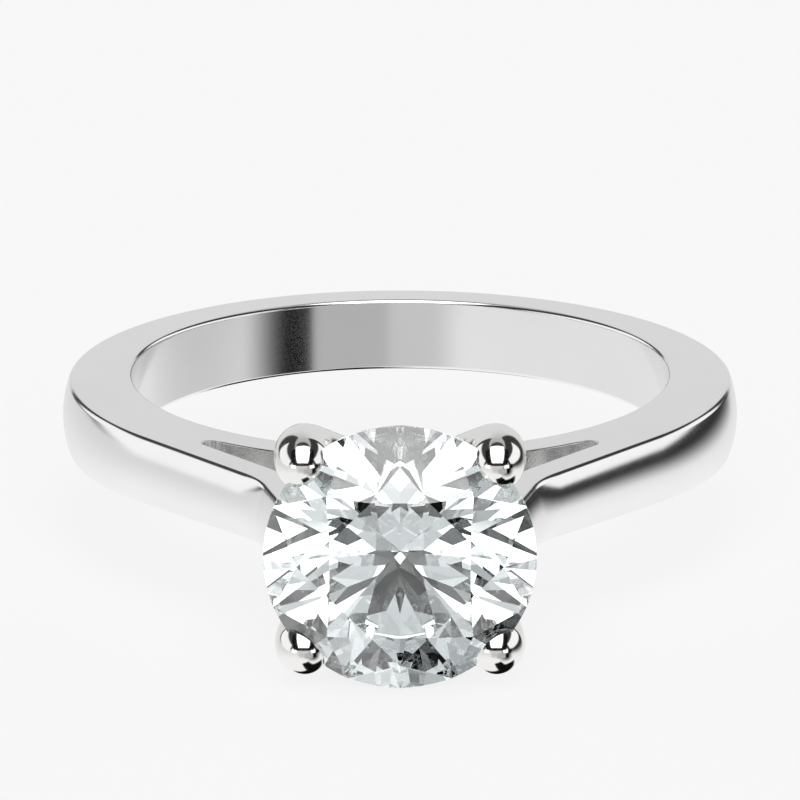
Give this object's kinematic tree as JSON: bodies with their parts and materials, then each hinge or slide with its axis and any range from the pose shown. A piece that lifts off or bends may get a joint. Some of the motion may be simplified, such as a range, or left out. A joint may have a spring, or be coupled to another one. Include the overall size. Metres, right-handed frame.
{
  "type": "engagement ring",
  "caption": "Finger ring in polished white metal with cathedral shoulders and a round brilliant stone held by round claws.",
  "frame": {"origin": "centre of the finger hole", "axes": "+Z along the finger axis, the head and its stone point along -Y, +X to the right when the stone faces the viewer"},
  "size_m": [0.0218, 0.028, 0.008],
  "materials": {
    "band_metal": "polished white gold",
    "head_metal": "mirror-polished white gold",
    "diamond": "clear, faceted and polished"
  },
  "bodies": {
    "root": {"shank": "band_metal", "left_shoulder": "band_metal", "right_shoulder": "band_metal", "head_base": "head_metal", "head_peg": "head_metal", "lower_rail": "head_metal", "gallery_rail": "head_metal", "claw_upper_left": "head_metal", "claw_upper_right": "head_metal", "claw_lower_left": "head_metal", "claw_lower_right": "head_metal", "diamond": "diamond"}
  },
  "joints": []
}
